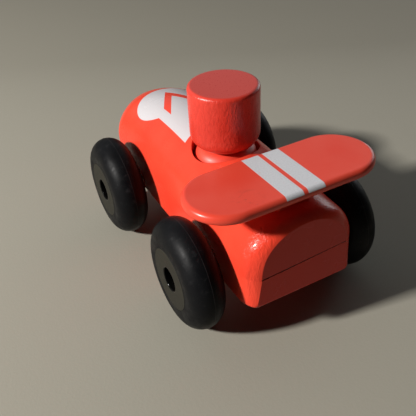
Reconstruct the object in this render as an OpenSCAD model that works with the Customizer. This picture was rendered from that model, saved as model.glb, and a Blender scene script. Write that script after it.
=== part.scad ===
// Wooden toy racing car: glued body, peg driver, plank wing and four free wheels.
// The origin is on the floor, under the middle of the car's length and width.
// +X is the driving direction, +Y the driver's left and +Z is up. Lengths are in millimetres.

/* [Chassis] */
// Distance between the two axles
wheelbase = 74.8; // [72:0.2:77]
// Rear face of the body to the rear axle
rear_overhang = 29.2; // [28:0.2:30]
// Front axle to the tip of the nose
nose_overhang = 46.8; // [46:0.2:49]
// Width of the body across its flat sides
body_w = 50.4; // [50:0.1:52]
// Height of the belly above the floor
belly_z = 20.2; // [19:0.1:20.4]
// Height of the glue seam between the two body blocks
seam_z = 36; // [35.6:0.1:36.4]
// Height of the arched top above the seam at its highest, in front of the driver
arch_h = 24.5; // [24.3:0.1:24.8]
// Height of the arched top above the seam at the rear face
rear_arch_h = 20.1; // [19.6:0.1:21]
// Squareness of the arch, where 2 is a half ellipse
arch_power = 2.05; // [2:0.05:2.4]
// Rounding of the body's rear side edges
rear_edge_r = 9; // [6:0.2:10]
// Rounding of the body's rear top edge
roof_edge_r = 5; // [3:0.2:6]
// How much of the roundings the flat rear face cuts off, which leaves a crisp edge
rear_cut = 0.6; // [0.3:0.1:0.8]
// Rounding of the lower block's long edges
belly_edge_r = 1.6; // [1:0.2:3]

/* [Nose] */
// Front axle to the place where the roof line starts to fall
roof_fall_ahead = -20.8; // [-24:0.2:-18]
// Front axle to the place where the flat sides start to close in
side_fall_ahead = 22.9; // [21:0.1:24]
// Bluntness of the nose seen from the side, where 2 is an ellipse
roof_power = 2.25; // [2:0.05:2.5]
// Bluntness of the nose seen from above
side_power = 1.5; // [1.4:0.05:2]

/* [Wheels] */
// Diameter over the tyres
wheel_d = 48; // [47.6:0.1:49]
// Width of a wheel
wheel_w = 15.8; // [15:0.2:16]
// Width of the car over the outer faces of the wheels
track_w = 89.4; // [89:0.2:92]
// Diameter of the flat disc in the middle of a wheel
disc_d = 27; // [24:0.2:28]
// Diameter of the sunk hole in the disc
hub_hole_d = 10.3; // [10:0.1:11]
// Depth of the sunk hole in the disc
hub_hole_depth = 6; // [5:0.2:7]
// Diameter of an axle rod
axle_d = 5; // [4:0.1:5.2]

/* [Driver] */
// Rear axle to the driver's centre line
driver_ahead = 30.1; // [30:0.1:32]
// Diameter of the head
head_d = 30; // [29:0.1:30.2]
// Height of the top of the head
head_top_z = 85.5; // [84:0.5:88]
// Height of the underside of the head
head_base_z = 58.5; // [58.2:0.1:59]
// Rounding of the head's upper rim
head_top_r = 1.7; // [1:0.1:3]
// Rounding of the head's lower rim
head_base_r = 6.3; // [6.2:0.1:7]
// Diameter of the peg body below the head
peg_d = 27; // [26:0.1:27.2]
// Rounding of the peg body's shoulders
shoulder_r = 5.6; // [4:0.1:6]
// Diameter of the round well that the peg body stands in
well_d = 29.2; // [29:0.1:29.4]
// Height of the well's floor above the glue seam
well_floor_h = 4; // [3:0.5:6]

/* [Wing] */
// Middle of the wing to the rear axle
wing_behind = 11.7; // [11:0.1:12]
// Length of the wing from tip to tip
wing_span = 80.3; // [76:0.1:86]
// Width of the wing from front to back
wing_chord = 32.3; // [30:0.1:32.6]
// Thickness of the wing
wing_t = 4.4; // [4:0.1:4.6]
// Height of the wing's upper face at its middle
wing_top_z = 66.3; // [66:0.1:67]
// Slope of the wing, nose down, in degrees
wing_slope = 1.6; // [0:0.1:2]
// Diameter of the two dowels that hold the wing
wing_dowel_d = 6; // [5:0.5:7]

/* [Fits] */
// Radial clearance of a part that turns or slides on another
running_gap = 0.05; // [0.02:0.01:0.09]
// Gap between the faces of two parts that move past each other
face_gap = 0.35; // [0.3:0.05:0.4]

/* [Hidden] */
$fn = 96;

body_red = [0.90, 0.20, 0.14];
wheel_black = [0.06, 0.07, 0.08];
disc_grey = [0.16, 0.15, 0.13];
bare_wood = [0.80, 0.62, 0.40];
steel_grey = [0.65, 0.66, 0.68];
nylon_white = [0.86, 0.86, 0.84];

rear_x = -(rear_overhang + wheelbase + nose_overhang)/2;
nose_x = -rear_x;
rear_axle_x = rear_x + rear_overhang;
front_axle_x = rear_axle_x + wheelbase;
axle_z = wheel_d/2;
axle_r = axle_d/2;
driver_x = rear_axle_x + driver_ahead;
wing_x = rear_axle_x - wing_behind;

// Each corner of the car: its name, the place of its axle and its side of the car
CORNERS = [
    ["front_left", front_axle_x, 1], ["front_right", front_axle_x, -1],
    ["rear_left", rear_axle_x, 1], ["rear_right", rear_axle_x, -1]
];

// Points on an arc round (cx, cy) from angle a0 to a1, for an outline
function arc(cx, cy, r, a0, a1, steps = 10) =
    [for (i = [0:steps]) let (a = a0 + (a1 - a0)*i/steps) [cx + r*cos(a), cy + r*sin(a)]];

// ---- Body: cross-sections along X, joined into a closed shell

roof_fall_x = front_axle_x + roof_fall_ahead;
side_fall_x = front_axle_x + side_fall_ahead;
rear_steps = 8;
roof_steps = 10;
nose_steps = 30;
arch_steps = 44;
belly_steps = 10;
belly_flare = 0.3;

// How far an edge of radius r pulls the outline in at the distance d from its end
function edge_inset(d, r) = d >= r ? 0 : r - sqrt(r*r - (r - d)*(r - d));

// How far a rear edge of radius r pulls the outline in at x
function rear_inset(x, r) = edge_inset(x - rear_x + rear_cut, r);

// Superellipse that falls from 1 at the place from to 0 at the place to
function fall(x, from, to, power) =
    x <= from ? 1 : pow(max(0, 1 - pow((x - from)/(to - from), power)), 1/power);

// Height of the roof above the seam behind the nose, which rises from the rear face
function roof_line(x) =
    arch_h - (arch_h - rear_arch_h)*pow(max(0, (roof_fall_x - x)/(roof_fall_x - rear_x)), 1.2);

function half_width(x) =
    body_w/2*fall(x, side_fall_x, nose_x, side_power) - rear_inset(x, rear_edge_r);
function roof_h(x) =
    roof_line(x)*fall(x, roof_fall_x, nose_x, roof_power) - rear_inset(x, roof_edge_r);
function belly_h(x) =
    (seam_z - belly_z)*fall(x, side_fall_x, nose_x, side_power) - edge_inset(x - rear_x, belly_edge_r);

// Stations run from the rear face to just behind the tip, close together where the shape curves
rear_end_x = rear_x + rear_edge_r - rear_cut;
STATIONS = concat(
    [for (i = [0:rear_steps]) rear_x + (rear_end_x - rear_x)*pow(i/rear_steps, 1.7)],
    [for (i = [1:roof_steps - 1]) rear_end_x + (roof_fall_x - rear_end_x)*i/roof_steps],
    [for (i = [0:nose_steps]) roof_fall_x + (nose_x - roof_fall_x)*sin(87*i/nose_steps)]
);

// One coordinate of a superellipse, from the sine or cosine t of its angle
function squared(t) = sign(t)*pow(abs(t), 2/arch_power);

// The arch above the seam, as a ring of points at x
function arch_ring(x) = let (w = half_width(x), h = roof_h(x))
    [for (i = [0:arch_steps]) let (a = 180*i/arch_steps) [x, w*squared(cos(a)), seam_z + h*squared(sin(a))]];

// How far the nose has closed in at x, from 0 at the flat sides to 1 at the tip
function nose_share(x) = min(1, max(0, (x - side_fall_x)/(nose_x - side_fall_x)));

// Edge rounding that grows along the nose from belly_edge_r to nearly the whole extent
function corner(x, extent) =
    min(0.98*extent, belly_edge_r + (extent - belly_edge_r)*sqrt(nose_share(x)));

// The sides, rounded edges and flat belly below the seam, as a ring of points at x.
// At the rear the outline is a little wider at the belly than at the seam.
function belly_ring(x) =
    let (w = half_width(x), low_w = w + belly_flare*rear_inset(x, rear_edge_r), h = belly_h(x))
    let (rw = corner(x, low_w), rh = corner(x, h))
    concat(
        [[x, -w, seam_z]],
        [for (i = [0:belly_steps]) let (a = 90*i/belly_steps)
            [x, rw - low_w - rw*cos(a), seam_z - h + rh - rh*sin(a)]],
        [for (i = [belly_steps:-1:0]) let (a = 90*i/belly_steps)
            [x, low_w - rw + rw*cos(a), seam_z - h + rh - rh*sin(a)]],
        [[x, w, seam_z]]
    );

// Closed shell through equal rings, ending in a point
module ring_shell(rings, tip) {
    count = len(rings[0]);
    last = len(rings) - 1;
    points = concat([for (ring = rings) each ring], [tip]);
    function id(ring, i) = ring*count + i % count;
    polyhedron(points, concat(
        [[for (i = [0:count - 1]) id(0, i)]],
        [for (ring = [0:last - 1], i = [0:count - 1]) each [
            [id(ring, i), id(ring + 1, i), id(ring + 1, i + 1)],
            [id(ring, i), id(ring + 1, i + 1), id(ring, i + 1)]
        ]],
        [for (i = [0:count - 1]) [id(last, i), len(points) - 1, id(last, i + 1)]]
    ));
}

well_floor_z = seam_z + well_floor_h;

module body_upper() {
    color(body_red) difference() {
        ring_shell([for (x = STATIONS) arch_ring(x)], [nose_x, 0, seam_z]);
        translate([driver_x, 0, well_floor_z]) cylinder(h = arch_h, d = well_d);
        wing_foot();
        for (side = [-1, 1]) at_wing_dowel(side) cylinder(h = wing_dowel_l, d = wing_dowel_d);
    }
}

module body_lower() {
    color(body_red) difference() {
        ring_shell([for (x = STATIONS) belly_ring(x)], [nose_x, 0, seam_z]);
        for (x = [front_axle_x, rear_axle_x]) at_axle(x) axle_rod(body_w + 2);
    }
}

// ---- Wing

wing_edge_r = wing_t/2 - 0.1;
wing_dowel_l = 20;
wing_dowel_sink = 1.4;
wing_dowel_gap = 10.6;
wing_foot_l = 18;
wing_foot_w = 14;
wing_foot_h = 7.5;

// Places its children in the wing's own frame, at the middle of its upper face
module at_wing() {
    translate([wing_x, 0, wing_top_z]) rotate([0, wing_slope, 0]) children();
}

module at_wing_dowel(side) {
    at_wing() translate([side*wing_dowel_gap/2, 0, -wing_dowel_sink - wing_dowel_l]) children();
}

// Outline of the front half of the wing's section: a flat plank with a rounded edge
module wing_half_section() {
    polygon(concat(
        [[0, -wing_t]],
        arc(wing_chord/2 - wing_edge_r, wing_edge_r - wing_t, wing_edge_r, -90, 0, 8),
        arc(wing_chord/2 - wing_edge_r, -wing_edge_r, wing_edge_r, 0, 90, 8),
        [[0, 0]]
    ));
}

module wing_half_plank(length) {
    rotate([90, 0, 0]) translate([0, 0, -length/2]) linear_extrude(height = length) wing_half_section();
}

module rear_wing() {
    straight = wing_span - wing_chord;
    color(body_red) difference() {
        union() {
            at_wing() {
                wing_half_plank(straight);
                rotate([0, 0, 180]) wing_half_plank(straight);
                for (side = [0, 180]) {
                    rotate([0, 0, side]) translate([0, straight/2, 0])
                        rotate_extrude(angle = 180) wing_half_section();
                }
            }
            wing_foot();
        }
        for (side = [-1, 1]) at_wing_dowel(side) cylinder(h = wing_dowel_l, d = wing_dowel_d);
    }
}

// Block under the wing that stands in a shallow pocket in the arch
module wing_foot() {
    at_wing() translate([-wing_foot_l/2, -wing_foot_w/2, -wing_t - wing_foot_h])
        cube([wing_foot_l, wing_foot_w, wing_foot_h]);
}

module wing_dowel(side) {
    color(bare_wood) at_wing_dowel(side) cylinder(h = wing_dowel_l, d = wing_dowel_d);
}

// ---- Driver

neck_d = 7;
neck_sink = 9;
neck_rise = 12;
peg_top_z = head_base_z - face_gap;
peg_base_z = well_floor_z + face_gap;
peg_chamfer = 0.8;

module driver_body() {
    r = peg_d/2;
    color(body_red) translate([driver_x, 0, 0]) difference() {
        rotate_extrude() polygon(concat(
            [[0, peg_base_z], [r - peg_chamfer, peg_base_z], [r, peg_base_z + peg_chamfer]],
            arc(r - shoulder_r, peg_top_z - shoulder_r, shoulder_r, 0, 90, 12),
            [[0, peg_top_z]]
        ));
        translate([0, 0, peg_top_z - neck_sink - face_gap])
            cylinder(h = neck_sink + 2, d = neck_d + 2*running_gap);
    }
}

module driver_neck() {
    color(bare_wood) translate([driver_x, 0, peg_top_z - neck_sink])
        cylinder(h = neck_sink + face_gap + neck_rise, d = neck_d);
}

module driver_head() {
    r = head_d/2;
    color(body_red) translate([driver_x, 0, 0]) difference() {
        rotate_extrude() polygon(concat(
            [[0, head_base_z]],
            arc(r - head_base_r, head_base_z + head_base_r, head_base_r, -90, 0, 12),
            arc(r - head_top_r, head_top_z - head_top_r, head_top_r, 0, 90, 8),
            [[0, head_top_z]]
        ));
        translate([0, 0, head_base_z - 1]) cylinder(h = neck_rise + 1, d = neck_d);
    }
}

// ---- Wheels and axles

cap_d = 8.8;
cap_face_depth = 2.6;
cap_dish_depth = 1.2;
cap_dish_r = (pow(cap_d/2 - 0.6, 2) + pow(cap_dish_depth, 2))/(2*cap_dish_depth);
cap_floor = 1.2;
axle_l = track_w - 2*(cap_face_depth + cap_dish_depth + cap_floor);

// Places its children at an axle's middle, with +Z along the car's +Y
module at_axle(x) {
    translate([x, 0, axle_z]) rotate([-90, 0, 0]) children();
}

// Places its children at the outer face of a corner's wheel, with +Z pointing away from the car
module at_wheel(corner) {
    translate([corner[1], corner[2]*track_w/2, axle_z]) rotate([-90*corner[2], 0, 0]) children();
}

module axle_rod(length) {
    translate([0, 0, -length/2]) cylinder(h = length, r = axle_r);
}

module axle(x) {
    color(steel_grey) at_axle(x) axle_rod(axle_l);
}

// Round tread on a flat-sided band that grips the hub
module tyre(corner) {
    tread_r = wheel_w/2;
    color(wheel_black) at_wheel(corner) translate([0, 0, -tread_r]) rotate_extrude() {
        translate([wheel_d/2 - tread_r, 0]) circle(r = tread_r);
        translate([disc_d/2, -tread_r]) square([wheel_d/2 - tread_r - disc_d/2, wheel_w]);
    }
}

module hub(corner) {
    bore_r = axle_r + running_gap;
    color(disc_grey) at_wheel(corner) rotate_extrude() polygon([
        [bore_r, -wheel_w], [disc_d/2, -wheel_w], [disc_d/2, 0],
        [hub_hole_d/2, 0], [hub_hole_d/2, -hub_hole_depth], [bore_r, -hub_hole_depth]
    ]);
}

// Push-on cap with a dished face, pressed onto the axle's end inside the hub's hole
module axle_cap(corner) {
    r = cap_d/2;
    dish_centre = cap_dish_r - cap_face_depth - cap_dish_depth;
    dish_angle = asin((r - 0.6)/cap_dish_r);
    color(wheel_black) at_wheel(corner) difference() {
        rotate_extrude() polygon(concat(
            [[0, face_gap - hub_hole_depth], [r, face_gap - hub_hole_depth], [r, -cap_face_depth - 0.3]],
            [[r - 0.3, -cap_face_depth]],
            arc(0, dish_centre, cap_dish_r, dish_angle - 90, -90, 8)
        ));
        translate([0, 0, -hub_hole_depth]) cylinder(h = (track_w - axle_l)/-2 + hub_hole_depth, r = axle_r);
    }
}

module washer(corner) {
    room = (track_w - body_w)/2 - wheel_w;
    color(nylon_white) at_wheel(corner) translate([0, 0, -wheel_w - room]) difference() {
        cylinder(h = room - face_gap, d = 11);
        translate([0, 0, -1]) cylinder(h = room + 2, r = axle_r + 0.15);
    }
}

body_upper();
body_lower();
rear_wing();
wing_dowel(1);  // wing_dowel_front
wing_dowel(-1);  // wing_dowel_rear
driver_body();
driver_neck();
driver_head();
axle(front_axle_x);  // axle_front
axle(rear_axle_x);  // axle_rear
for (corner = CORNERS) {
    tyre(corner);
    hub(corner);
    axle_cap(corner);
    washer(corner);
}
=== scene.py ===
"""Looks of the wooden toy racing car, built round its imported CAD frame.

Lengths are in metres, +X is the driving direction, +Y the driver's left and +Z is up.
"""
from math import asin, atan2, cos, pi, radians, sin, sqrt

import bmesh
import bpy
from mathutils import Matrix, Vector


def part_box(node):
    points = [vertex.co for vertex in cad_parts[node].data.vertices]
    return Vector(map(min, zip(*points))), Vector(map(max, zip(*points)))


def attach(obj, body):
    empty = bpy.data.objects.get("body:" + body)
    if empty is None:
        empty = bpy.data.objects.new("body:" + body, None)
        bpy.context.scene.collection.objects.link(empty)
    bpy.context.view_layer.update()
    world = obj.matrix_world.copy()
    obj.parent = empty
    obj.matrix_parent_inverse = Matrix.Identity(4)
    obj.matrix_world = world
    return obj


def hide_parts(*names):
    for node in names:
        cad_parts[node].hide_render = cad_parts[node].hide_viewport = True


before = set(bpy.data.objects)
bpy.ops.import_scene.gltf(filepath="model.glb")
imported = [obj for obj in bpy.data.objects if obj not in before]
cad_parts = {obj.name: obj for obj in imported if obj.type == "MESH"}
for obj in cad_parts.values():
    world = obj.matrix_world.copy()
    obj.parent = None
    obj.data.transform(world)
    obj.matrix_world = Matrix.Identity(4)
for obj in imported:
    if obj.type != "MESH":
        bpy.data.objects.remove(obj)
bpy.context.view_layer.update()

MM = 0.001

# ---- Sizes: places come from the frame, shapes repeat the part's own dimensions

UPPER_LO, UPPER_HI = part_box("body_upper")
LOWER_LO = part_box("body_lower")[0]
REAR_X, NOSE_X = UPPER_LO.x, UPPER_HI.x
SEAM_Z, BELLY_Z = UPPER_LO.z, LOWER_LO.z
BODY_HALF_W = UPPER_HI.y

CORNERS = [(end + "_" + side, end, 1 if side == "left" else -1)
           for end in ("front", "rear") for side in ("left", "right")]


def middle(node):
    """Centre of a CAD node's box."""
    low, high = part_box(node)
    return (low + high)/2


FRONT_AXLE_X = middle("axle_front").x
DRIVER_X = middle("driver_body").x

ARCH_H = 24.5*MM
REAR_ARCH_H = 20.1*MM
ARCH_POWER = 2.05
REAR_EDGE_R = 9*MM
ROOF_EDGE_R = 5*MM
REAR_CUT = 0.6*MM
BELLY_FLARE = 0.3
BELLY_EDGE_R = 1.6*MM
ROOF_FALL_X = FRONT_AXLE_X - 20.8*MM
SIDE_FALL_X = FRONT_AXLE_X + 22.9*MM
ROOF_POWER = 2.25
SIDE_POWER = 1.5
WELL_R = 14.6*MM
WELL_FLOOR_Z = SEAM_Z + 4*MM

WING_LO, WING_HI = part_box("rear_wing")
WING_SPAN = WING_HI.y - WING_LO.y
WING_CHORD = 32.3*MM
WING_T = 4.4*MM
WING_SLOPE = radians(1.6)
WING_EDGE_R = WING_T/2 - 0.1*MM
WING_FOOT = (18*MM, 14*MM, 7.5*MM)

NECK_R = 3.5*MM
RUNNING_GAP = 0.05*MM
FACE_GAP = 0.35*MM


# ---- Mesh helpers

class Shell:
    """Points and faces gathered for one mesh."""

    def __init__(self):
        self.points = []
        self.faces = []

    def ring(self, points):
        first = len(self.points)
        self.points += [Vector(p) for p in points]
        return list(range(first, len(self.points)))

    def bridge(self, a, b, closed=True, skip=lambda i: False):
        count = len(a)
        for i in range(count if closed else count - 1):
            j = (i + 1) % count
            if not skip(i):
                self.faces.append((a[i], a[j], b[j], b[i]))

    def fan(self, ring, tip):
        centre = self.ring([tip])[0]
        for i in range(len(ring)):
            self.faces.append((ring[i], ring[(i + 1) % len(ring)], centre))

    def build(self, name, sharp=35):
        """Welds the points, turns the normals outward and returns a smooth-shaded object."""
        mesh = bpy.data.meshes.new(name)
        mesh.from_pydata(self.points, [], self.faces)
        work = bmesh.new()
        work.from_mesh(mesh)
        bmesh.ops.remove_doubles(work, verts=work.verts, dist=1e-6)
        bmesh.ops.dissolve_degenerate(work, edges=work.edges, dist=1e-7)
        bmesh.ops.recalc_face_normals(work, faces=work.faces)
        work.to_mesh(mesh)
        work.free()
        mesh.shade_smooth()
        mesh.set_sharp_from_angle(angle=radians(sharp))
        made = bpy.data.objects.new(name, mesh)
        bpy.context.scene.collection.objects.link(made)
        return made


def arc(cx, cy, r, start, end, steps):
    """Points on an arc round (cx, cy), with its angles in degrees."""
    turns = [radians(start + (end - start)*i/steps) for i in range(steps + 1)]
    return [(cx + r*cos(a), cy + r*sin(a)) for a in turns]


def rounded(corners, steps=6):
    """Outline through (x, y, radius) corners, each rounded with its own radius."""
    out = []
    for i, (x, y, r) in enumerate(corners):
        here = Vector((x, y))
        if r == 0:
            out.append((x, y))
            continue
        back = (Vector(corners[i - 1][:2]) - here).normalized()
        ahead = (Vector(corners[(i + 1) % len(corners)][:2]) - here).normalized()
        half = back.angle(ahead)/2
        centre = here + (back + ahead).normalized()*(r/sin(half))
        start = here + back*(r*cos(half)/sin(half)) - centre
        end = here + ahead*(r*cos(half)/sin(half)) - centre
        sweep = start.angle(end)
        for k in range(steps + 1):
            t = k/steps
            p = centre + (start*sin((1 - t)*sweep) + end*sin(t*sweep))/sin(sweep)
            out.append((p.x, p.y))
    return out


def supported(outline, closed, reach=0.15*MM):
    """Adds a point close to each end of every long straight run, so that flat faces shade flat."""
    out = []
    pairs = zip(outline, outline[1:] + (outline[:1] if closed else []))
    for (x0, y0), (x1, y1) in pairs:
        out.append((x0, y0))
        length = sqrt((x1 - x0)**2 + (y1 - y0)**2)
        if length > 6*reach:
            for d in (reach, length/2, length - reach):
                out.append((x0 + (x1 - x0)*d/length, y0 + (y1 - y0)*d/length))
    return out if closed else out + [outline[-1]]


def lathe(name, outline, closed=False, segments=144, sharp=35):
    """Turns an outline of (radius, height) points round Z."""
    shell = Shell()
    rings = []
    for r, z in supported(outline, closed):
        turns = [2*pi*i/segments for i in range(segments)]
        rings.append(shell.ring([(r*cos(a), r*sin(a), z) for a in turns]))
    for a, b in zip(rings, rings[1:] + (rings[:1] if closed else [])):
        shell.bridge(a, b)
    return shell.build(name, sharp)


def piece(made, body, nodes, material):
    """Declares a finished object as a piece on a body, standing for CAD nodes."""
    made.data.materials.append(material)
    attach(made, body)
    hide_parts(*nodes)
    return made


# ---- Material helpers

class Look:
    """A procedural material under construction. Sockets and plain numbers can be mixed freely."""

    def __init__(self, name):
        self.material = bpy.data.materials.new(name)
        self.material.use_nodes = True
        self.tree = self.material.node_tree
        self.shader = self.tree.nodes["Principled BSDF"]
        self.place = self.tree.nodes.new("ShaderNodeTexCoord").outputs["Object"]
        self.own = self.shifted()

    def feed(self, socket, value):
        if isinstance(value, bpy.types.NodeSocket):
            self.tree.links.new(value, socket)
        elif isinstance(value, tuple) and len(value) == 3 and socket.type == "RGBA":
            socket.default_value = (*value, 1)
        else:
            socket.default_value = value

    def set(self, **values):
        """Sets shader inputs by name, with _ for a space."""
        for name, value in values.items():
            self.feed(self.shader.inputs[name.replace("_", " ").title().replace("Ior", "IOR")], value)

    def math(self, operation, a, b=0.0, c=0.0):
        node = self.tree.nodes.new("ShaderNodeMath")
        node.operation = operation
        for socket, value in zip(node.inputs, (a, b, c)):
            self.feed(socket, value)
        return node.outputs[0]

    def shifted(self):
        """Object coordinates moved by an amount of each object's own, so that no two wheels are alike."""
        chance = self.tree.nodes.new("ShaderNodeObjectInfo").outputs["Random"]
        node = self.tree.nodes.new("ShaderNodeVectorMath")
        node.operation = "MULTIPLY_ADD"
        self.feed(node.inputs[0], chance)
        node.inputs[1].default_value = (0.9, 0.7, 0.5)
        self.feed(node.inputs[2], self.place)
        return node.outputs[0]

    def noise(self, scale, stretch=(1, 1, 1), detail=4.0, roughness=0.55, distortion=0.0):
        """Noise over the object coordinates, which are first multiplied by a stretch for each axis."""
        mapping = self.tree.nodes.new("ShaderNodeMapping")
        self.feed(mapping.inputs["Vector"], self.own)
        mapping.inputs["Scale"].default_value = stretch
        node = self.tree.nodes.new("ShaderNodeTexNoise")
        self.feed(node.inputs["Vector"], mapping.outputs[0])
        node.inputs["Scale"].default_value = scale
        node.inputs["Detail"].default_value = detail
        node.inputs["Roughness"].default_value = roughness
        node.inputs["Distortion"].default_value = distortion
        return node.outputs[0]

    def fit(self, value, low, high, out_low=0.0, out_high=1.0, smooth=False):
        """Maps the range low..high to out_low..out_high, clamped."""
        node = self.tree.nodes.new("ShaderNodeMapRange")
        node.interpolation_type = "SMOOTHSTEP" if smooth else "LINEAR"
        for name, v in (("Value", value), ("From Min", low), ("From Max", high),
                        ("To Min", out_low), ("To Max", out_high)):
            self.feed(node.inputs[name], v)
        return node.outputs[0]

    def mix(self, factor, a, b):
        """Mixes two colours."""
        node = self.tree.nodes.new("ShaderNodeMix")
        node.data_type = "RGBA"
        self.feed(node.inputs[0], factor)
        self.feed(node.inputs[6], a)
        self.feed(node.inputs[7], b)
        return node.outputs[2]

    def bump(self, height, depth, under=None):
        """Bump from a height of 0..1 that stands for depth metres."""
        node = self.tree.nodes.new("ShaderNodeBump")
        node.inputs["Strength"].default_value = 1.0
        node.inputs["Distance"].default_value = depth
        self.feed(node.inputs["Height"], height)
        if under is not None:
            self.feed(node.inputs["Normal"], under)
        return node.outputs[0]

    def axes(self):
        """The object coordinates as three separate sockets."""
        node = self.tree.nodes.new("ShaderNodeSeparateXYZ")
        self.feed(node.inputs[0], self.place)
        return node.outputs

    def facing(self):
        """The surface normal as three separate sockets."""
        node = self.tree.nodes.new("ShaderNodeSeparateXYZ")
        self.feed(node.inputs[0], self.tree.nodes.new("ShaderNodeNewGeometry").outputs["Normal"])
        return node.outputs

    def radius(self, a, b, at=(0.0, 0.0)):
        """Distance of two coordinates from a point in their plane."""
        da = self.math("SUBTRACT", a, at[0])
        db = self.math("SUBTRACT", b, at[1])
        return self.math("SQRT", self.math("MULTIPLY_ADD", da, da, self.math("MULTIPLY", db, db)))

    def inside(self, distance, limit, edge=0.12*MM):
        """1 where distance is under the limit, with a thin soft edge."""
        return self.fit(distance, limit - edge, limit + edge, 1.0, 0.0)

    def both(self, *masks):
        out = masks[0]
        for mask in masks[1:]:
            out = self.math("MULTIPLY", out, mask)
        return out

    def either(self, a, b):
        return self.math("MAXIMUM", a, b)

    def without(self, a, b):
        return self.math("MULTIPLY", a, self.math("SUBTRACT", 1.0, b))


RED = (0.80, 0.066, 0.034)
RED_DEEP = (0.70, 0.045, 0.022)
RED_SOFT = (0.72, 0.072, 0.042)
WHITE_PAINT = (0.545, 0.525, 0.545)


# ---- Materials

def hood_mask(look):
    """White roundel with a broad band behind it, and a red chevron in the middle."""
    x, y, z = look.axes()
    across = look.math("ABSOLUTE", y)
    centre = FRONT_AXLE_X + 7*MM
    roundel_r = 18.3*MM
    band_half_w = 13.6*MM
    band_end = centre - 50*MM
    hollow_x = centre - 67*MM
    hollow_r = 30.5*MM
    disc = look.inside(look.radius(x, y, (centre, 0)), roundel_r)
    hollow = look.inside(look.radius(x, y, (hollow_x, 0)), hollow_r)
    band = look.both(look.inside(across, band_half_w), look.inside(x, centre),
                     look.fit(x, band_end, centre - 49*MM), look.math("SUBTRACT", 1.0, hollow))
    ahead = look.math("MULTIPLY_ADD", across, 2.0, x)
    chevron = look.both(look.inside(ahead, centre + 9.5*MM),
                        look.math("SUBTRACT", 1.0, look.inside(ahead, centre + 1.5*MM)),
                        look.inside(across, 9*MM))
    top_only = look.fit(z, SEAM_Z, SEAM_Z + 1*MM)
    return look.both(look.without(look.either(disc, band), chevron), top_only)


def rear_face_shade(look):
    """1 on the flat rear face, where the body paint is darkened as painted shade."""
    faces_back = look.fit(look.facing()[0], -0.97, -0.99)
    at_back = look.fit(look.axes()[0], REAR_X + 2*MM, REAR_X + 1*MM)
    return look.both(faces_back, at_back)


def glue_line(look):
    """1 along the glue seam on the rear face, wider and darker towards the left."""
    x, y, z = look.axes()
    level = look.math("MULTIPLY_ADD", y, -SEAM_SKEW/BODY_HALF_W, SEAM_Z - SEAM_DROP)
    left = look.fit(y, -BODY_HALF_W, BODY_HALF_W)
    blots = look.fit(look.noise(620, detail=4), 0.40, 0.62, 0.35, 1.0)
    width = look.math("MULTIPLY", blots, look.fit(left, 0.2, 1.0, 0.26*MM, 0.60*MM))
    off = look.math("DIVIDE", look.math("ABSOLUTE", look.math("SUBTRACT", z, level)), width)
    flat_half_w = BODY_HALF_W - rear_inset(REAR_X, REAR_EDGE_R)
    return look.both(look.fit(off, 1.0, 0.5), look.inside(look.math("ABSOLUTE", y), flat_half_w),
                     look.fit(x, REAR_X + 0.6*MM, REAR_X + 0.4*MM), look.fit(left, 0.0, 0.8, 0.7, 1.0))


def on_rear_edges(look):
    """1 round the rear left corner, where the paint ran a little."""
    x, y, z = look.axes()
    return look.both(look.fit(x, REAR_X + 10*MM, REAR_X + 7*MM),
                     look.fit(x, REAR_X + 0.2*MM, REAR_X + 0.8*MM),
                     look.fit(y, 8*MM, 15*MM))


def body_paint(name, graphic=False):
    look = Look(name)
    broad = look.noise(35, detail=3)
    grain = look.noise(900, (0.07, 1, 1), detail=5)
    peel = look.noise(750, detail=2)
    specks = look.fit(look.noise(2600, detail=2), 0.66, 0.74)
    scuffs = look.fit(look.noise(160, (0.35, 1, 1), detail=6, roughness=0.7), 0.60, 0.72)
    colour = look.mix(look.fit(broad, 0.3, 0.7), RED, RED_DEEP)
    colour = look.mix(look.math("MULTIPLY", specks, 0.25), colour, (0.86, 0.16, 0.10))
    # Painted shade: the flat rear face gets a darker red, standing in for the shade it lies in.
    colour = look.mix(rear_face_shade(look), colour, (0.60, 0.036, 0.022) if graphic else (0.66, 0.034, 0.019))
    colour = look.mix(glue_line(look), colour, (0.016, 0.008, 0.006))
    if graphic:
        mask = hood_mask(look)
        thin = look.fit(grain, 0.60, 0.80, 1.0, 0.86)
        colour = look.mix(look.math("MULTIPLY", mask, thin), colour, WHITE_PAINT)
    rough = look.fit(broad, 0.3, 0.7, 0.22, 0.30)
    ripple = look.noise(480, (1, 1, 0.32), detail=4, roughness=0.6, distortion=0.5)
    look.set(base_color=colour,
             roughness=look.math("MULTIPLY_ADD", scuffs, 0.16, rough),
             coat_weight=0.09, coat_roughness=0.08, ior=1.5, specular_ior_level=0.15)
    normal = look.bump(grain, 0.030*MM)
    normal = look.bump(peel, 0.020*MM, normal)
    runs = look.both(look.math("SUBTRACT", ripple, 0.5), on_rear_edges(look))
    normal = look.bump(runs, 0.5*MM, normal)
    look.set(normal=look.bump(scuffs, 0.006*MM, normal))
    return look.material


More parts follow.
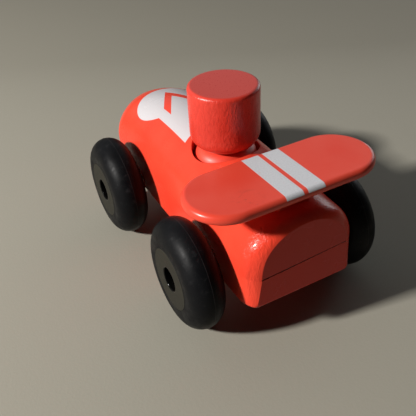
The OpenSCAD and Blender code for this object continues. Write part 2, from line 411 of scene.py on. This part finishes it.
def wing_paint():
    look = Look("wing_paint")
    x, y, z = look.axes()
    across = look.math("ABSOLUTE", y)
    stripe_outer, stripe_inner = 8.35*MM, 0.92*MM
    stripe = look.both(look.inside(across, stripe_outer),
                       look.math("SUBTRACT", 1.0, look.inside(across, stripe_inner)),
                       look.fit(z, -1.5*MM, -1.3*MM))
    wear = look.fit(look.noise(240, detail=6, roughness=0.7), 0.63, 0.74)
    broad = look.noise(45, detail=3)
    fine = look.noise(1400, detail=4)
    grain = look.noise(700, (1, 0.05, 1), detail=5)
    colour = look.mix(look.fit(broad, 0.3, 0.7), RED_SOFT, RED_DEEP)
    colour = look.mix(look.math("MULTIPLY", wear, 0.18), colour, (0.80, 0.22, 0.16))
    smudge = look.both(look.fit(look.radius(x, y, (-9*MM, 20*MM)), 7*MM, 1*MM),
                       look.fit(look.noise(330, (1, 0.5, 1), detail=5, roughness=0.7), 0.50, 0.66))
    colour = look.mix(look.math("MULTIPLY", smudge, 0.6), colour, (0.22, 0.030, 0.022))
    printed = look.mix(look.fit(fine, 0.35, 0.75), (0.58, 0.59, 0.62), (0.50, 0.51, 0.54))
    colour = look.mix(look.without(stripe, look.math("MULTIPLY", wear, 0.5)), colour, printed)
    look.set(base_color=colour,
             roughness=look.math("MULTIPLY_ADD", wear, 0.14, look.fit(broad, 0.3, 0.7, 0.28, 0.36)),
             coat_weight=0.06, coat_roughness=0.2, ior=1.48, specular_ior_level=0.34)
    normal = look.bump(grain, 0.014*MM)
    normal = look.bump(fine, 0.010*MM, normal)
    look.set(normal=look.bump(stripe, 0.02*MM, normal))
    return look.material


def head_paint():
    """Satin paint whose sides show the wrinkled grain of the wood below, with painted shade on its top and
    in the wrinkle valleys.
    """
    look = Look("head_paint")
    side = look.fit(look.math("ABSOLUTE", look.facing()[2]), 0.85, 0.45, 0.0, 1.0, smooth=True)
    wrinkle = look.noise(1050, (1, 1, 0.38), detail=4, roughness=0.55, distortion=0.5)
    ripple = look.noise(260, (1, 1, 0.4), detail=3)
    fine = look.noise(1700, detail=4)
    broad = look.noise(60, detail=3)
    colour = look.mix(look.fit(broad, 0.3, 0.7), (0.67, 0.048, 0.030), (0.59, 0.033, 0.019))
    # Painted shade: the head's flat top is darker, for the weaker light that falls on it from the side.
    top_shade = look.fit(look.facing()[2], 0.90, 0.99)
    colour = look.mix(top_shade, colour, (0.50, 0.038, 0.024))
    # Painted shade: the wrinkle valleys on the head's sides are darkened.
    crease_shade = look.math("MULTIPLY", look.fit(wrinkle, 0.56, 0.42), look.math("MULTIPLY", side, 0.30))
    colour = look.mix(crease_shade, colour, (0.42, 0.020, 0.010))
    look.set(base_color=colour, roughness=look.fit(fine, 0.3, 0.7, 0.26, 0.36),
             coat_weight=0.06, coat_roughness=0.15, ior=1.48, specular_ior_level=0.45)
    height = look.math("MULTIPLY_ADD", ripple, 0.5, wrinkle)
    normal = look.bump(look.both(height, side), 0.22*MM)
    look.set(normal=look.bump(fine, 0.012*MM, normal))
    return look.material


def peg_paint():
    """Thicker glossy paint on the peg body."""
    look = Look("peg_paint")
    broad = look.noise(90, detail=3)
    turned = look.noise(700, (0.12, 0.12, 1), detail=3)
    colour = look.mix(look.fit(broad, 0.3, 0.7), RED, RED_DEEP)
    look.set(base_color=colour, roughness=look.fit(broad, 0.3, 0.7, 0.42, 0.52),
             coat_weight=0.06, coat_roughness=0.25, ior=1.5)
    look.set(normal=look.bump(turned, 0.02*MM))
    return look.material


def tyre_rubber():
    look = Look("tyre_rubber")
    x, y, z = look.axes()
    out = look.radius(x, y)
    tread = look.fit(out, 17.5*MM, 22.5*MM, smooth=True)
    scuff = look.fit(look.noise(260, detail=7, roughness=0.72), 0.56, 0.72)
    dust = look.fit(look.noise(1900, detail=3), 0.60, 0.78)
    broad = look.noise(50, detail=3)
    blot = look.noise(170, detail=5, roughness=0.65)
    colour = look.mix(look.fit(broad, 0.3, 0.7), (0.0026, 0.0028, 0.0036), (0.0042, 0.0044, 0.0054))
    worn = look.math("MULTIPLY", look.both(scuff, tread), 0.55)
    colour = look.mix(worn, colour, (0.026, 0.026, 0.028))
    colour = look.mix(look.math("MULTIPLY", dust, 0.12), colour, (0.09, 0.085, 0.08))
    from_middle = look.math("ABSOLUTE", look.math("ADD", z, WHEEL_W/2))
    # Painted highlight: a lighter line along the moulding ridge at the crown, where light catches it.
    parting_highlight = look.both(look.inside(from_middle, 0.10*MM, 0.06*MM),
                        look.fit(out, 20*MM, 22*MM), look.fit(broad, 0.40, 0.60, 0.3, 1.0))
    colour = look.mix(look.math("MULTIPLY", parting_highlight, 0.5), colour, (0.045, 0.045, 0.047))
    ridges = look.math("SINE", look.math("MULTIPLY", out, 2*pi/(0.55*MM)))
    near_disc = look.fit(out, 16.4*MM, 15.6*MM)
    look.set(base_color=colour, ior=1.5, specular_ior_level=0.10,
             roughness=look.math("MULTIPLY_ADD", worn, 0.30, look.fit(blot, 0.35, 0.65, 0.36, 0.58)))
    normal = look.bump(look.noise(2400, detail=3), 0.010*MM)
    normal = look.bump(look.both(ridges, near_disc), 0.015*MM, normal)
    look.set(normal=look.bump(worn, 0.02*MM, normal))
    return look.material


def hub_plastic():
    """Matte dark plastic with faint turned rings on the flat disc, and painted shade at the hole's rim and
    at the disc's edge.
    """
    look = Look("hub_plastic")
    x, y, z = look.axes()
    out = look.radius(x, y)
    rings = look.math("SINE", look.math("MULTIPLY", out, 2*pi/(0.42*MM)))
    drift = look.noise(1200, detail=3)
    blot = look.noise(150, detail=4)
    speck = look.fit(look.noise(2600, detail=2), 0.66, 0.74)
    colour = look.mix(look.fit(blot, 0.3, 0.7), (0.013, 0.0120, 0.0084), (0.020, 0.0185, 0.0130))
    colour = look.mix(look.math("MULTIPLY", speck, 0.35), colour, (0.06, 0.056, 0.048))
    shaded_glossy_mouth = look.inside(out, HUB_HOLE_R + 0.45*MM)
    gap_shade = look.fit(out, DISC_R - 0.35*MM, DISC_R - 0.15*MM)
    # Painted shade: the hole's rim and the ring between disc and tyre are darkened; the hole's rim is also
    # glossier.
    colour = look.mix(look.either(shaded_glossy_mouth, gap_shade), colour, (0.0022, 0.0021, 0.0020))
    matte = look.fit(blot, 0.3, 0.7, 0.50, 0.62)
    look.set(base_color=colour, roughness=look.fit(shaded_glossy_mouth, 0, 1, matte, 0.16), ior=1.46,
             specular_ior_level=0.22)
    normal = look.bump(look.math("MULTIPLY_ADD", drift, 1.2, rings), 0.008*MM)
    look.set(normal=normal)
    return look.material


def cap_black():
    look = Look("cap_black")
    swirl = look.noise(700, detail=4)
    look.set(base_color=look.mix(swirl, (0.0020, 0.0020, 0.0022), (0.0042, 0.0042, 0.0044)),
             roughness=look.fit(swirl, 0.3, 0.7, 0.08, 0.18), ior=1.5,
             coat_weight=0.6, coat_roughness=0.05)
    look.set(normal=look.bump(swirl, 0.006*MM))
    return look.material


def axle_steel():
    """Drawn steel rod with fine lines along its length."""
    look = Look("axle_steel")
    drawn = look.noise(3000, (1, 1, 0.02), detail=4)
    tarnish = look.noise(120, (1, 1, 0.3), detail=4)
    look.set(base_color=look.mix(look.fit(tarnish, 0.35, 0.7), (0.60, 0.61, 0.63), (0.42, 0.41, 0.40)),
             metallic=1.0, roughness=look.fit(drawn, 0.3, 0.7, 0.22, 0.40))
    look.set(normal=look.bump(drawn, 0.006*MM))
    return look.material


def washer_nylon():
    look = Look("washer_nylon")
    cloud = look.noise(400, detail=4)
    look.set(base_color=look.mix(cloud, (0.66, 0.65, 0.60), (0.78, 0.77, 0.73)),
             roughness=look.fit(cloud, 0.3, 0.7, 0.38, 0.52),
             subsurface_weight=0.1, subsurface_scale=0.5*MM)
    look.set(normal=look.bump(look.noise(2200, detail=3), 0.010*MM))
    return look.material


def bare_wood():
    """Beech with its grain along Z."""
    look = Look("bare_wood")
    rings = look.noise(420, (1, 1, 0.06), detail=6, distortion=0.4)
    flecks = look.fit(look.noise(1600, (1, 1, 0.12), detail=3), 0.60, 0.70)
    colour = look.mix(look.fit(rings, 0.35, 0.65), (0.52, 0.33, 0.17), (0.66, 0.46, 0.27))
    colour = look.mix(look.math("MULTIPLY", flecks, 0.5), colour, (0.36, 0.20, 0.10))
    look.set(base_color=colour, roughness=look.fit(rings, 0.3, 0.7, 0.55, 0.70))
    look.set(normal=look.bump(rings, 0.03*MM))
    return look.material


def floor_surface():
    look = Look("floor_surface")
    cloud = look.noise(3, detail=4)
    tooth = look.noise(900, detail=3)
    look.set(base_color=look.mix(cloud, (0.302, 0.286, 0.236), (0.328, 0.312, 0.258)),
             roughness=look.fit(tooth, 0.3, 0.7, 0.75, 0.90))
    look.set(normal=look.bump(tooth, 0.05*MM))
    return look.material


# ---- Body: the part's own cross-sections on a finer grid

def edge_inset(d, r):
    """How far an edge of radius r pulls the outline in at the distance d from its end."""
    return 0 if d >= r else r - sqrt(r*r - (r - d)**2)


def rear_inset(x, r):
    """How far a rear edge of radius r pulls the outline in at x."""
    return edge_inset(x - REAR_X + REAR_CUT, r)


def fall(x, start, power):
    """Superellipse that falls from 1 at start to 0 at the nose tip."""
    if x <= start:
        return 1
    return max(0, 1 - ((x - start)/(NOSE_X - start))**power)**(1/power)


def half_width(x):
    return BODY_HALF_W*fall(x, SIDE_FALL_X, SIDE_POWER) - rear_inset(x, REAR_EDGE_R)


def roof_line(x):
    """Height of the roof above the seam behind the nose, which rises from the rear face."""
    share = max(0, (ROOF_FALL_X - x)/(ROOF_FALL_X - REAR_X))
    return ARCH_H - (ARCH_H - REAR_ARCH_H)*share**1.2


def roof_h(x):
    return roof_line(x)*fall(x, ROOF_FALL_X, ROOF_POWER) - rear_inset(x, ROOF_EDGE_R)


def belly_h(x):
    return (SEAM_Z - BELLY_Z)*fall(x, SIDE_FALL_X, SIDE_POWER) - edge_inset(x - REAR_X, BELLY_EDGE_R)


def squared(t):
    return (1 if t >= 0 else -1)*abs(t)**(2/ARCH_POWER)


def arch_z(x, y):
    """Height of the arch between the rear edge and the nose."""
    return SEAM_Z + roof_line(x)*(1 - (abs(y)/BODY_HALF_W)**ARCH_POWER)**(1/ARCH_POWER)


PATCH = 20*MM          # half the length of the area round the well that has its own grid
PATCH_Y = 19*MM
PATCH_STEPS = 48
RIM_R = 0.6*MM         # rounding of the well's rim
GROOVE_DEPTH = 0.4*MM
SEAM_STEPS = 36
SEAM_DROP = 0.7*MM     # how far the seam's middle lies below its level on the rear face
SEAM_SKEW = 1.4*MM     # how much lower its left end lies, and higher its right end
SEAM_SKEW_LENGTH = 12*MM
SEAM_BLEND = 8*MM
FILLET_STEPS = 24
FILLET_CROWDING = 1.8  # above 1, the sections crowd towards the rear face
RUN_STEPS = 20
NOSE_STEPS = 72
NOSE_TURN = 88.5       # the last section stops just short of the nose tip's 90 degrees
ARCH_SIDE_STEPS = 20
GROOVE_LEAST = 0.13    # half heights of the seam's groove, in mm
GROOVE_GROWTH = 0.26


def stations():
    """Places along X for the sections, and the indexes where the patch starts and ends."""
    fillet = [REAR_X + (REAR_EDGE_R - REAR_CUT)*(i/FILLET_STEPS)**FILLET_CROWDING
              for i in range(FILLET_STEPS + 1)]
    behind = DRIVER_X - PATCH
    ahead = DRIVER_X + PATCH
    run = [fillet[-1] + (behind - fillet[-1])*i/RUN_STEPS for i in range(1, RUN_STEPS + 1)]
    patch = [behind + 2*PATCH*i/PATCH_STEPS for i in range(1, PATCH_STEPS + 1)]
    nose = [ROOF_FALL_X + (NOSE_X - ROOF_FALL_X)*sin(radians(NOSE_TURN)*i/NOSE_STEPS)
            for i in range(NOSE_STEPS + 1)]
    places = fillet + run + patch + [(ahead + ROOF_FALL_X)/2] + nose
    first = len(fillet) + len(run) - 1
    return places, first, first + PATCH_STEPS


STATIONS, PATCH_FIRST, PATCH_LAST = stations()

EDGE_TURN = asin(1) - asin((PATCH_Y/BODY_HALF_W)**(ARCH_POWER/2))
ARCH_TURNS = ([EDGE_TURN*i/ARCH_SIDE_STEPS for i in range(ARCH_SIDE_STEPS)]
              + [EDGE_TURN + (pi - 2*EDGE_TURN)*i/PATCH_STEPS for i in range(PATCH_STEPS)]
              + [pi - EDGE_TURN + EDGE_TURN*i/ARCH_SIDE_STEPS for i in range(ARCH_SIDE_STEPS + 1)])
ARCH_FIRST, ARCH_LAST = ARCH_SIDE_STEPS, ARCH_SIDE_STEPS + PATCH_STEPS


def groove(x, y):
    """Half height of the glue seam's groove, which only shows on the rear face."""
    share = max(0, 1 - (x - REAR_X)/GROOVE_DEPTH)
    return share*(GROOVE_LEAST + GROOVE_GROWTH*(0.5 + 0.5*y/BODY_HALF_W)**3)*MM


def seam_z(x, y, side=0):
    """Height of the glue seam, which runs a little askew across the rear face, or of its groove's edge."""
    share = max(0, 1 - (x - REAR_X)/SEAM_SKEW_LENGTH)
    return SEAM_Z - share*(SEAM_DROP + SEAM_SKEW*y/BODY_HALF_W) + side*groove(x, y)


def seam_line(x, w, side):
    """Points along the glue seam from y = -side*w to side*w, without its ends."""
    ys = [side*w*(2*i/SEAM_STEPS - 1) for i in range(1, SEAM_STEPS)]
    return [(x, y, seam_z(x, y, side)) for y in ys]


def upper_ring(x):
    w, h = half_width(x), roof_h(x)
    points = []
    for a in ARCH_TURNS:
        y, rise = w*squared(cos(a)), h*squared(max(0, sin(a)))
        near = max(0, 1 - rise/SEAM_BLEND)
        points.append((x, y, SEAM_Z + rise + near*(seam_z(x, y, 1) - SEAM_Z)))
    return points + seam_line(x, w, 1)


def corner(x, extent):
    """Rounding of the lower block's long edges, which grows along the nose."""
    share = min(1, max(0, (x - SIDE_FALL_X)/(NOSE_X - SIDE_FALL_X)))
    return min(0.98*extent, BELLY_EDGE_R + (extent - BELLY_EDGE_R)*sqrt(share))


def lower_ring(x):
    w, h = half_width(x), belly_h(x)
    low_w = w + BELLY_FLARE*rear_inset(x, REAR_EDGE_R)
    rw, rh = corner(x, low_w), corner(x, h)
    turns = [pi/2*i/12 for i in range(13)]
    low = SEAM_Z - h
    left = [(x, rw - low_w - rw*cos(a), low + rh - rh*sin(a)) for a in turns]
    belly = [(x, (low_w - rw)*t, low) for t in (-0.98, -0.5, 0, 0.5, 0.98)]

    def side(turned):
        top = seam_z(x, turned*w, -1)
        return [(x, turned*(w + (low_w - w)*t), top + (low + rh - top)*t) for t in (0, 0.1, 0.5, 0.9)]

    right = [(x, -y, z) for x, y, z in reversed(left)]
    return side(-1) + left + belly + right + list(reversed(side(1))) + seam_line(x, w, -1)


def close_rear(shell, ring):
    """Flat rear face: three shrunken copies of the ring keep it shading flat."""
    points = [shell.points[i] for i in ring]
    centre = sum(points, Vector())/len(points)
    for share in (0.985, 0.9, 0.5):
        inner = shell.ring([centre + (p - centre)*share for p in points])
        shell.bridge(ring, inner)
        ring = inner
    shell.fan(ring, centre)


def make_well(shell, rings):
    """Round well with a rounded rim, joined to the arch's grid by rings that turn from square to round."""
    edge = ([rings[i][ARCH_FIRST] for i in range(PATCH_FIRST, PATCH_LAST)]
            + [rings[PATCH_LAST][j] for j in range(ARCH_FIRST, ARCH_LAST)]
            + [rings[i][ARCH_LAST] for i in range(PATCH_LAST, PATCH_FIRST, -1)]
            + [rings[PATCH_FIRST][j] for j in range(ARCH_LAST, ARCH_FIRST, -1)])
    outer = [shell.points[i] for i in edge]
    turns = [atan2(p.y, p.x - DRIVER_X) for p in outer]

    def circle(r, height):
        places = [(DRIVER_X + r*cos(a), r*sin(a)) for a in turns]
        return shell.ring([(x, y, height(x, y)) for x, y in places])

    ring = edge
    for t in (0.85, 0.7, 0.55, 0.4, 0.28, 0.18, 0.09, 0.0):
        places = []
        for p, a in zip(outer, turns):
            r = WELL_R + RIM_R
            x = DRIVER_X + r*cos(a) + (p.x - DRIVER_X - r*cos(a))*t
            y = r*sin(a) + (p.y - r*sin(a))*t
            places.append((x, y, arch_z(x, y)))
        inner = shell.ring(places)
        shell.bridge(ring, inner)
        ring = inner
    for i in range(1, 7):
        a = pi/2*i/6
        drop = RIM_R*(1 - cos(a))
        inner = circle(WELL_R + RIM_R*(1 - sin(a)), lambda x, y: arch_z(x, y) - drop)
        shell.bridge(ring, inner)
        ring = inner
    for height in (SEAM_Z + 12*MM, SEAM_Z + 8*MM, WELL_FLOOR_Z + 0.15*MM, WELL_FLOOR_Z):
        inner = circle(WELL_R, lambda x, y: height)
        shell.bridge(ring, inner)
        ring = inner
    for r in (WELL_R - 0.15*MM, WELL_R/2):
        inner = circle(r, lambda x, y: WELL_FLOOR_Z)
        shell.bridge(ring, inner)
        ring = inner
    shell.fan(ring, (DRIVER_X, 0, WELL_FLOOR_Z))


def make_body_upper():
    shell = Shell()
    rings = [shell.ring(upper_ring(x)) for x in STATIONS]
    for i, (a, b) in enumerate(zip(rings, rings[1:])):
        in_patch = PATCH_FIRST <= i < PATCH_LAST
        shell.bridge(a, b, skip=lambda j: in_patch and ARCH_FIRST <= j < ARCH_LAST)
    close_rear(shell, rings[0])
    shell.fan(rings[-1], (NOSE_X, 0, SEAM_Z))
    make_well(shell, rings)
    return shell.build("visual_body_upper")


def make_body_lower():
    shell = Shell()
    rings = [shell.ring(lower_ring(x)) for x in STATIONS]
    for a, b in zip(rings, rings[1:]):
        shell.bridge(a, b)
    close_rear(shell, rings[0])
    shell.fan(rings[-1], (NOSE_X, 0, SEAM_Z))
    return shell.build("visual_body_lower")


# ---- Wing, in its own tilted frame

WING_LIFT = (WING_CHORD/2 - WING_EDGE_R)*sin(WING_SLOPE) + WING_EDGE_R*(1 - cos(WING_SLOPE))
WING_X = middle("rear_wing").x + WING_T/2*sin(WING_SLOPE)
WING_PLACE = (Matrix.Translation((WING_X, 0, WING_HI.z - WING_LIFT))
              @ Matrix.Rotation(WING_SLOPE, 4, "Y"))


def add_wing_foot(shell):
    """Block below the plank that stands on the arch."""
    length, width, height = WING_FOOT
    outline = rounded([(length/2, -width/2, 0.8*MM), (length/2, width/2, 0.8*MM),
                       (-length/2, width/2, 0.8*MM), (-length/2, -width/2, 0.8*MM)])
    low, high = -WING_T - height, -WING_T + 0.5*MM
    rings = [shell.ring([(x, y, z) for x, y in outline]) for z in (low, high)]
    shell.bridge(rings[0], rings[1])
    shell.fan(rings[0], (0, 0, low))
    shell.fan(rings[1], (0, 0, high))


def make_wing():
    """Plank with half-round ends and rounded edges, with its upper face at z = 0."""
    straight = (WING_SPAN - WING_CHORD)/2
    shell = Shell()

    def loop(r, z):
        caps = []
        for side in (1, -1):
            for i in range(49):
                a = pi*i/48
                caps.append((side*r*cos(a), side*(straight + r*sin(a)), z))
        return shell.ring(caps)

    flat = WING_CHORD/2 - WING_EDGE_R
    inward = [(flat*t, 0) for t in (0, 0.35, 0.7, 0.985)]
    section = [(r, -WING_T) for r, z in inward]
    section += arc(flat, WING_EDGE_R - WING_T, WING_EDGE_R, -90, 0, 10)
    section += arc(flat, -WING_EDGE_R, WING_EDGE_R, 0, 90, 10)
    section += list(reversed(inward))
    loops = [loop(r, z) for r, z in section]
    for a, b in zip(loops, loops[1:]):
        shell.bridge(a, b)
    add_wing_foot(shell)
    wing = shell.build("visual_rear_wing")
    wing.matrix_world = WING_PLACE
    return wing


# ---- Driver

def make_driver_body():
    low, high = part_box("driver_body")
    r, top = (high.x - low.x)/2, high.z - low.z
    hole_r = NECK_R + RUNNING_GAP
    hole_z = top - 9*MM - FACE_GAP
    outline = [(0, 0, 0), (r, 0, 0.8*MM), (r, top, 5.6*MM),
               (hole_r, top, 0.3*MM), (hole_r, hole_z, 0), (0, hole_z, 0)]
    body = lathe("visual_driver_body", rounded(outline, 12))
    body.location = (DRIVER_X, 0, low.z)
    return body


def make_driver_head():
    low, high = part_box("driver_head")
    r, top = (high.x - low.x)/2, high.z - low.z
    socket_top = 12*MM
    outline = [(0, socket_top, 0), (NECK_R, socket_top, 0), (NECK_R, 0, 0.3*MM),
               (r, 0, 6.3*MM), (r, top, 1.7*MM), (0, top, 0)]
    head = lathe("visual_driver_head", rounded(outline, 12), segments=192)
    head.location = (DRIVER_X, 0, low.z)
    return head


# ---- Wheels and axles, each in a frame whose +Z points away from the car at the wheel's outer face

TYRE_LO, TYRE_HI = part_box("tyre_front_left")
WHEEL_R = (TYRE_HI.z - TYRE_LO.z)/2
WHEEL_W = TYRE_HI.y - TYRE_LO.y
TRACK_HALF = TYRE_HI.y
DISC_R = (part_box("hub_front_left")[1].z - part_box("hub_front_left")[0].z)/2
AXLE_R = (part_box("axle_front")[1].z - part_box("axle_front")[0].z)/2
AXLE_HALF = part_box("axle_front")[1].y
HUB_HOLE_R = 5.15*MM
HUB_HOLE_DEPTH = 6*MM
CAP_R = 4.4*MM
CAP_FACE_DEPTH = 2.6*MM
CAP_DISH_DEPTH = 1.2*MM
ROD_EDGE_R = 0.3*MM


def at_wheel(made, end, side):
    """Puts a turned piece at a corner of the car."""
    place = Vector((middle("axle_" + end).x, side*TRACK_HALF, WHEEL_R))
    made.matrix_world = Matrix.Translation(place) @ Matrix.Rotation(-side*pi/2, 4, "X")
    return made


def make_tyre(name):
    """Round tread with a thin moulding line, on a flat band that grips the hub."""
    ridge = 0.07*MM
    tread_r = WHEEL_W/2
    centre = WHEEL_R - tread_r
    outline = [(DISC_R, -WHEEL_W + ridge), (DISC_R, -ridge), (DISC_R + 0.3*MM, -ridge)]
    fine = [90 - 87*i/26 for i in range(27)] + [2, 1.2, 0.6, 0, -0.6, -1.2, -2]
    fine += [-3 - 87*i/26 for i in range(27)]
    for a in fine:
        r = tread_r - ridge + ridge*max(0, 1 - abs(a)/1.4)
        outline.append((centre + r*cos(radians(a)), -tread_r + r*sin(radians(a))))
    outline.append((DISC_R + 0.3*MM, -WHEEL_W + ridge))
    return lathe(name, outline, closed=True, segments=160, sharp=50)


def make_hub(name):
    bore_r = AXLE_R + RUNNING_GAP
    rim_r = DISC_R - 0.03*MM
    outline = [(bore_r, -WHEEL_W, 0.2*MM), (rim_r, -WHEEL_W, 0.25*MM),
               (rim_r, 0, 0.25*MM), (HUB_HOLE_R, 0, 0.5*MM),
               (HUB_HOLE_R, -HUB_HOLE_DEPTH, 0.3*MM), (bore_r, -HUB_HOLE_DEPTH, 0.2*MM)]
    return lathe(name, rounded(outline, 8), closed=True)


def make_cap(name):
    """Push-on cap with a dished face."""
    dish_r = CAP_R - 0.6*MM
    sphere_r = (dish_r**2 + CAP_DISH_DEPTH**2)/(2*CAP_DISH_DEPTH)
    low = FACE_GAP - HUB_HOLE_DEPTH
    end = -(TRACK_HALF - AXLE_HALF)
    reach = asin(dish_r/sphere_r)
    bottom = -CAP_FACE_DEPTH - CAP_DISH_DEPTH
    turns = [reach*(1 - i/12) for i in range(13)]
    dish = [(sphere_r*sin(a), bottom + sphere_r*(1 - cos(a))) for a in turns]
    rim = rounded([(0, end, 0), (AXLE_R, end, 0), (AXLE_R, low, 0), (CAP_R, low, 0.2*MM),
                   (CAP_R, -CAP_FACE_DEPTH, 0.25*MM), (dish_r + 0.05*MM, -CAP_FACE_DEPTH, 0)], 5)
    return lathe(name, rim + dish, segments=96)


def make_washer(name, end):
    low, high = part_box("washer_" + end + "_left")
    r, length = (high.z - low.z)/2, high.y - low.y
    base = high.y - TRACK_HALF - length
    bore_r = AXLE_R + 0.15*MM
    return lathe(name, rounded([(bore_r, base, 0.2*MM), (r, base, 0.3*MM), (r, base + length, 0.3*MM),
                                (bore_r, base + length, 0.2*MM)], 4), closed=True, segments=96)


def make_axle(end):
    rod = lathe("visual_axle_" + end, rounded([
        (0, -AXLE_HALF, 0), (AXLE_R, -AXLE_HALF, ROD_EDGE_R), (AXLE_R, AXLE_HALF, ROD_EDGE_R),
        (0, AXLE_HALF, 0)], 4), segments=64)
    rod.matrix_world = (Matrix.Translation((middle("axle_" + end).x, 0, WHEEL_R))
                        @ Matrix.Rotation(-pi/2, 4, "X"))
    return rod


# ---- Assembly

paint = body_paint("body_paint")
hood = body_paint("hood_paint", graphic=True)
piece(make_body_upper(), "chassis", ["body_upper"], hood)
piece(make_body_lower(), "chassis", ["body_lower"], paint)
piece(make_wing(), "chassis", ["rear_wing"], wing_paint())
piece(make_driver_body(), "driver", ["driver_body"], peg_paint())
piece(make_driver_head(), "head", ["driver_head"], head_paint())

steel = axle_steel()
for end in ("front", "rear"):
    piece(make_axle(end), "chassis", ["axle_" + end], steel)

rubber, plastic, gloss, nylon = tyre_rubber(), hub_plastic(), cap_black(), washer_nylon()
for name, end, side in CORNERS:
    tyre = at_wheel(make_tyre("visual_tyre_" + name), end, side)
    piece(tyre, "wheel_" + name, ["tyre_" + name], rubber)
    hub = at_wheel(make_hub("visual_hub_" + name), end, side)
    piece(hub, "wheel_" + name, ["hub_" + name], plastic)
    cap = at_wheel(make_cap("visual_axle_cap_" + name), end, side)
    piece(cap, "chassis", ["axle_cap_" + name], gloss)
    washer = at_wheel(make_washer("visual_washer_" + name, end), end, side)
    piece(washer, "chassis", ["washer_" + name], nylon)

wood = bare_wood()
for node in ("wing_dowel_front", "wing_dowel_rear", "driver_neck"):
    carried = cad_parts[node]
    carried.data.materials.clear()
    carried.data.materials.append(wood)


# ---- Stage, light and camera

def make_floor():
    """Plain floor, 6 m square, as a grid."""
    cell = 0.5
    marks = range(-6, 7)
    shell = Shell()
    rows = [shell.ring([(x*cell, y*cell, 0) for y in marks]) for x in marks]
    for a, b in zip(rows, rows[1:]):
        shell.bridge(a, b, closed=False)
    floor = shell.build("floor")
    floor.data.materials.append(floor_surface())


def make_light(name, place, size, energy, colour, target=(0, 0, 0.04)):
    """Rectangular lamp of a size in metres and an energy in watts, aimed at the target."""
    light = bpy.data.lights.new(name, "AREA")
    light.shape = "RECTANGLE"
    light.size, light.size_y = size
    light.energy = energy
    light.color = colour
    lamp = bpy.data.objects.new(name, light)
    aim = Vector(target) - Vector(place)
    lamp.matrix_world = Matrix.Translation(place) @ aim.to_track_quat("-Z", "Y").to_matrix().to_4x4()
    bpy.context.scene.collection.objects.link(lamp)


def make_world():
    world = bpy.data.worlds.new("studio")
    world.use_nodes = True
    sky = world.node_tree.nodes["Background"]
    sky.inputs["Color"].default_value = (0.95, 0.97, 1.0, 1)
    sky.inputs["Strength"].default_value = 0.012
    bpy.context.scene.world = world


def make_camera():
    """Camera above the car's rear left, at the photograph's angle."""
    yaw, pitch, roll = radians(-26.46), radians(-36.49), radians(-3.59)
    ahead = Vector((cos(pitch)*cos(yaw), cos(pitch)*sin(yaw), sin(pitch)))
    right = Vector((sin(yaw), -cos(yaw), 0))
    up = right.cross(ahead)
    turned_right = cos(roll)*right + sin(roll)*up
    turned_up = cos(roll)*up - sin(roll)*right
    camera = bpy.data.cameras.new("camera")
    camera.lens = 51.1
    camera.sensor_width = 36
    camera.clip_start = 0.01
    holder = bpy.data.objects.new("camera", camera)
    turn = Matrix((turned_right, turned_up, -ahead)).transposed().to_4x4()
    place = (-0.20938, 0.10657, 0.18680)
    holder.matrix_world = Matrix.Translation(place) @ turn
    bpy.context.scene.collection.objects.link(holder)
    bpy.context.scene.camera = holder


make_floor()
make_light("key", (0.09, 1.10, 0.66), (0.10, 0.10), 26, (1.0, 0.97, 0.93))
make_light("wall", (0.21, -0.10, 0.52), (1.3, 0.84), 1.35, (0.96, 0.98, 1.0), target=(-0.69, 0.34, 0.52))
make_light("fill", (-0.5, 0.2, 1.5), (1.4, 1.4), 0.1, (0.94, 0.97, 1.0))
make_light("far_side", (0.55, -1.25, 0.28), (0.6, 0.5), 2.0, (0.96, 0.98, 1.0))
make_world()
make_camera()
bpy.context.scene.view_settings.view_transform = "Standard"
